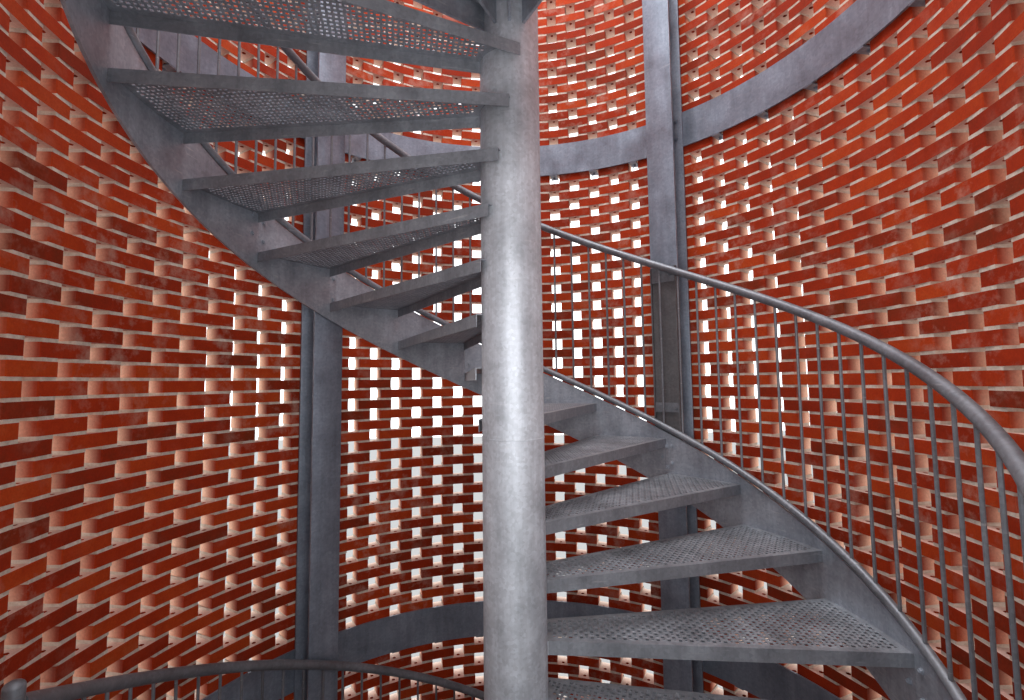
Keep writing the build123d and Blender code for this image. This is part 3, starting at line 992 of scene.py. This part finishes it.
@dataclass
class Column:
    """Central tube with its butt seams and the welds of the treads' flanges."""

    top: float = 7.1
    weld: float = 0.003
    seams: tuple[float, ...] = (1.44, 4.44)
    seam_section: tuple[Point, ...] = ((-0.001, -0.004), (0.001, -0.002), (0.001, 0.002), (-0.001, 0.004))

    def build(self) -> None:
        """Builds the tube, its seams and a bead along the inner end of each nosing flange."""
        bm = bmesh.new()
        rod(bm, Vector((0, 0, 0.02)), Vector((0, 0, self.top)), PLAN.column_radius, 72)
        # The tube and its welds take the paler column steel, which is painted light.
        piece(bm, "column_tube", LIT_COLUMN_STEEL, Slot.STAIR, "column")
        bm = bmesh.new()
        radius = PLAN.column_radius
        foot = Vector((radius + 0.001, -0.001, -0.044))
        rod(bm, foot, foot + Vector((0, 0, 0.044)), self.weld, 6)
        bmesh.ops.transform(bm, matrix=turn(PLAN.first_angle, PLAN.rise), verts=bm.verts[:])
        copies(bm, PLAN.step_turn, PLAN.rise, PLAN.steps - 1)
        copies(bm, 0.0, PLAN.storey, 1)
        for height in self.seams:
            section = [(radius + x, height + z) for x, z in self.seam_section]
            loop = [bm.verts.new((x, 0.0, z)) for x, z in section]
            edges = [bm.edges.new((loop[i - 1], loop[i])) for i in range(4)]
            bmesh.ops.spin(bm, geom=edges, axis=UPRIGHT, angle=radians(360.0), steps=72, use_merge=True)
        bmesh.ops.recalc_face_normals(bm, faces=bm.faces[:])
        piece(bm, "column_welds", LIT_COLUMN_STEEL, Slot.STAIR)


# Frame


@dataclass
class Posts:
    """Four H posts with rolled roots."""

    web: float = 0.008
    root: float = 0.014
    tip: float = 0.002

    def section(self) -> list[Point]:
        """Corners of the H, one flange towards the axis."""
        low, high = PLAN.post_face, PLAN.post_face + PLAN.post_size
        near, far = low + PLAN.post_flange, high - PLAN.post_flange
        half, web = PLAN.post_size / 2, self.web / 2
        right = [(low, -half), (near, -half), (near, -web), (far, -web), (far, -half), (high, -half)]
        return right + [(x, -y) for x, y in reversed(right)]

    def rounded(self, bm: BMesh, across: float, offset: float, segments: int) -> None:
        """Rounds the upright edges at a distance from the web's middle.

        Args:
            bm: The post's mesh.
            across: Distance of the edges from the middle.
            offset: Size of the rounding.
            segments: Number of its faces.
        """
        edges = []
        for edge in bm.edges:
            first, last = (vert.co for vert in edge.verts)
            if abs(first.z - last.z) > 1.0 and abs(abs(first.y) - across) < 1e-5:
                edges.append(edge)
        size = {"offset": offset, "segments": segments, "profile": 0.5, "material": -1}
        bmesh.ops.bevel(bm, geom=edges, affect="EDGES", **size)

    def build(self) -> None:
        """Builds the four posts and the bolts of their foot plates."""
        for name, angle in PLAN.post_angles.items():
            bm = bmesh.new()
            prism(bm, self.section(), 0.015, PLAN.wall_height - 0.0001)
            self.rounded(bm, self.web / 2, self.root, 3)
            self.rounded(bm, PLAN.post_size / 2, self.tip, 2)
            half = PLAN.post_size / 2
            box(bm, (PLAN.post_face - 0.07, -half, 0.0), (PLAN.post_face + PLAN.post_size, half, 0.015))
            for x in (PLAN.post_face - 0.035, PLAN.post_face + PLAN.post_size / 2):
                for y in (-0.055, 0.055):
                    bolt(bm, Vector((x, y, 0.015)), Vector(UPRIGHT), 0.014)
            bmesh.ops.transform(bm, matrix=turn(angle), verts=bm.verts[:])
            piece(bm, f"post_{name}_section", FRAME_STEEL, Slot.FRAME, f"post_{name}")


@dataclass
class Rings:
    """Flat-plate rings bolted to the posts' rear flanges, with lugs in the gaps of the wall."""

    lug_reach: float = 0.085
    lug_width: float = 0.045
    lug_thickness: float = 0.006
    bolt_across: float = 0.042
    bolt_inset: float = 0.051

    def spans(self) -> list[tuple[float, float]]:
        """Start and end angles of the three arcs, which meet behind the posts."""
        gap = degrees(0.0003 / PLAN.ring_inner)
        at = PLAN.post_angles
        names = ("front_right", "rear_right", "rear_left", "front_left")
        return [(at[start] + gap, at[end] - gap) for start, end in zip(names, names[1:])]

    def lug_angles(self, low: float) -> list[float]:
        """Angles of the gaps of the course behind a ring's underside."""
        phase = 5.0 if floor((low - PLAN.first_bed) / PLAN.course) % 2 else 0.0
        clear = degrees((PLAN.post_size + self.lug_width) / 2 / PLAN.ring_inner)
        gaps = [phase + 10.0 * step for step in range(-9, 28)]
        return [gap for start, end in self.spans() for gap in gaps if start + clear <= gap < end - clear]

    def build(self) -> None:
        """Builds the rings with their bolts, and the lugs."""
        inner = PLAN.ring_inner
        outer = inner + PLAN.ring_thickness
        for number, low in enumerate(PLAN.ring_lows, start=1):
            bm = bmesh.new()
            high = low + PLAN.ring_height
            for start, end in self.spans():
                corners = band(inner, outer, start, low, high)
                swept(bm, corners, end - start, 0.0, round((end - start) / 2))
                for angle, side in ((start, 1), (end, -1)):
                    for height in (low + self.bolt_inset, high - self.bolt_inset):
                        foot = Vector((PLAN.post_back - PLAN.post_flange, side * self.bolt_across, height))
                        place = turn(angle)
                        bolt(bm, place @ foot, place.to_3x3() @ Vector((-1, 0, 0)), 0.011)
            piece(bm, f"ring_{number}_plates", FRAME_STEEL, Slot.FRAME, f"ring_{number}")
            bm = bmesh.new()
            half, under = self.lug_width / 2, self.lug_thickness
            for angle in self.lug_angles(low):
                box(bm, (inner + 0.001, -half, -under), (inner + self.lug_reach, half, 0.0), turn(angle, low))
                foot = polar(inner + self.lug_reach * 0.6, angle, low - under)
                bolt(bm, foot, Vector((0, 0, -1)), 0.008)
            piece(bm, f"tie_lugs_{number}_plates", FRAME_STEEL, Slot.FRAME, f"tie_lugs_{number}")


@dataclass
class ChannelPlates:
    """Cover plates bolted to the bands of the channels over the stringers."""

    front: float = 1.3172
    half_width: float = 0.0665
    thickness: float = 0.0012
    bands: tuple[Point, ...] = ((0.142, 0.196), (0.874, 0.962))
    bolts: tuple[Point, ...] = ((-0.035, 0.918), (-0.053, 0.169))

    def build(self) -> None:
        """Builds one plate and one bolt on each band of both channels."""
        angle = PLAN.post_angles["rear_right"]
        face = self.front - self.thickness
        bm = bmesh.new()
        for flight in range(1, PLAN.flights + 1):
            place = turn(angle, PLAN.nosing(angle, flight))
            for low, high in self.bands:
                low_corner = (face, -self.half_width, low + 0.001)
                box(bm, low_corner, (self.front + 0.0005, self.half_width, high - 0.001), place)
            for across, height in self.bolts:
                bolt(bm, place @ Vector((face, across, height)), place.to_3x3() @ Vector((-1, 0, 0)), 0.012)
        piece(bm, "channel_plates", RAIL_STEEL, Slot.FRAME)


# Landings


@dataclass
class Landing:
    """Perforated deck of one landing with its beams and edge plate."""

    number: int
    sheet: float = 0.004
    notch: float = 0.003
    perforation: PerforatedSheet = field(
        default_factory=lambda: PerforatedSheet(pitch=0.030, hole=0.012, nibs=False, margin=0.012)
    )

    def outline(self) -> list[Point]:
        """Plan of the deck, from the column to the wall, notched round the post."""
        start, end = PLAN.arrival, PLAN.arrival + PLAN.landing_turn
        outer = PLAN.wall_inner - 0.005
        at = PLAN.post_angles["front_left"]
        reach = PLAN.post_face - self.notch
        half = PLAN.post_size / 2 + self.notch
        side = degrees(asin(half / outer))
        turned = Matrix.Rotation(radians(at), 2)
        notch = [tuple(turned @ Vector((reach, across))) for across in (-half, half)]
        column = arc(PLAN.column_radius + PLAN.fit, end, start, 10)
        return [*arc(outer, start, at - side, 5), *notch, *arc(outer, at + side, end, 20), *column]

    def build(self) -> None:
        """Builds the deck at its level."""
        bm = bmesh.new()
        self.perforation.build(bm, self.outline())
        bmesh.ops.solidify(bm, geom=bm.faces[:], thickness=self.sheet)
        top = max(v.co.z for v in bm.verts)
        bmesh.ops.translate(bm, verts=bm.verts[:], vec=(0, 0, PLAN.levels[self.number] - top))
        piece(bm, f"landing_{self.number}_sheet", SHEET, Slot.TREAD, f"landing_{self.number}_deck")


# Plain steel that keeps its solid


@dataclass(frozen=True)
class PlainSteel:
    """CAD nodes that only need a finish."""

    finishes: tuple[tuple[str, Finish], ...] = (
        ("guard", RAIL_STEEL),
        # Partly weathering, partly painted shade in the channels' recess.
        ("channels", WEATHERED_AND_SHADED_STEEL),
        # Painted shade: the cap takes the darker copy of the steel.
        ("column_cap", SHADED_CAP_STEEL),
        ("", STEEL),
    )
    single: tuple[str, ...] = (
        "column_base", "column_cap", "stair_brackets", "post_channels", "top_landing_guard",
    )

    def nodes(self) -> list[str]:
        """Names of the nodes."""
        frames = [f"door_frame_{number}" for number in range(1, PLAN.flights + 2)]
        parts = ("beams", "edge", "sill")
        landings = [f"landing_{number}_{part}" for number in range(1, PLAN.flights + 1) for part in parts]
        return [*self.single, *frames, *landings]

    def build(self) -> None:
        """Gives each node its galvanised finish."""
        for name in self.nodes():
            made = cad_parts[name]
            finish = next(finish for part, finish in self.finishes if part in name)
            made.data.materials.clear()
            made.data.materials.append(finish.material())
            log.info("%s keeps its solid", name)


# Stage


@dataclass
class Studio:
    """Floor, soft light and the photograph's camera."""

    eye: Triple = (-0.1131, -1.7446, 4.6391)
    heading: float = 86.322
    pitch: float = 4.103
    roll: float = -0.633
    lens: float = 17.188
    shift: float = -0.0042
    sky: float = 2.5
    sky_behind: float = 1.0
    sky_lean: Triple = (0.0, 0.85, -0.53)
    sky_colour: Triple = (0.97, 0.985, 1.0)
    lights: tuple[tuple[str, Triple, Triple, float, float], ...] = (
        ("open_head_light", (-0.2, -0.2, 10.0), (0.6, 0.7, 5.0), 2.2, 235.0),
        ("doorway_light", (-0.05, -1.22, 4.75), (0.0, 0.0, 4.75), 1.1, 13.0),
    )

    def camera(self) -> None:
        """Places the camera as the photograph was taken."""
        ahead = Vector((cos(radians(self.heading)), sin(radians(self.heading)), 0))
        right = Vector((ahead.y, -ahead.x, 0))
        tilt, roll = radians(self.pitch), radians(self.roll)
        forward = ahead * cos(tilt) + Vector((0, 0, sin(tilt)))
        up = Vector((0, 0, cos(tilt))) - ahead * sin(tilt)
        right, up = right * cos(roll) + up * sin(roll), up * cos(roll) - right * sin(roll)
        data = bpy.data.cameras.new("photo_camera")
        data.lens, data.sensor_width, data.sensor_fit = self.lens, 36.0, "HORIZONTAL"
        data.shift_y = self.shift
        data.clip_start, data.clip_end = 0.02, 200.0
        made = placed("photo_camera", data)
        turned = Matrix((right, up, -forward)).transposed().to_4x4()
        made.matrix_world = Matrix.Translation(self.eye) @ turned
        bpy.context.scene.camera = made

    def area(self, name: str, place: Triple, aim: Triple, size: float, power: float) -> None:
        """Adds a soft square light that the camera doesn't see."""
        data = bpy.data.lights.new(name, "AREA")
        data.energy, data.size = power, size
        made = placed(name, data)
        made.location = place
        made.rotation_euler = (Vector(aim) - Vector(place)).to_track_quat("-Z", "Y").to_euler()
        made.visible_camera = False

    def sky_light(self) -> None:
        """Lights the tower from all sides, brighter from the rear."""
        world = bpy.data.worlds.new("studio")
        world.use_nodes = True
        tree = world.node_tree
        place = node(tree, "TexCoord").outputs["Generated"]
        lean = node(tree, "VectorMath", place, self.sky_lean, operation="DOT_PRODUCT").outputs["Value"]
        span = {"From_Min": -0.9, "From_Max": 0.5, "To_Min": self.sky_behind, "To_Max": self.sky}
        fade = node(tree, "MapRange", lean, interpolation_type="SMOOTHSTEP", **span)
        strength = fade.outputs["Result"]
        feed(tree, tree.nodes["Background"], {"Color": (*self.sky_colour, 1.0), "Strength": strength})
        bpy.context.scene.world = world
        bpy.context.scene.view_settings.view_transform = "Standard"

    def floor(self) -> None:
        """Adds the pale floor just under the ground level."""
        bm = bmesh.new()
        below = Matrix.Translation((0, 0, -0.002))
        bmesh.ops.create_grid(bm, x_segments=1, y_segments=1, size=40.0, matrix=below)
        mesh = bpy.data.meshes.new("floor")
        bm.to_mesh(mesh)
        bm.free()
        mesh.materials.append(FLOOR.material())
        placed("floor", mesh)

    def build(self) -> None:
        """Builds the stage."""
        self.sky_light()
        self.floor()
        for light in self.lights:
            self.area(*light)
        self.camera()


def main() -> None:
    """Builds the tower and its stage."""
    Studio().build()
    Brickwork().build()
    Column().build()
    for number in range(1, PLAN.flights + 1):
        Treads(number).build()
        Stringer(number).build()
        Balustrade(number).build()
        Landing(number).build()
    Posts().build()
    Rings().build()
    ChannelPlates().build()
    PlainSteel().build()


if __name__ == "__main__":
    main()
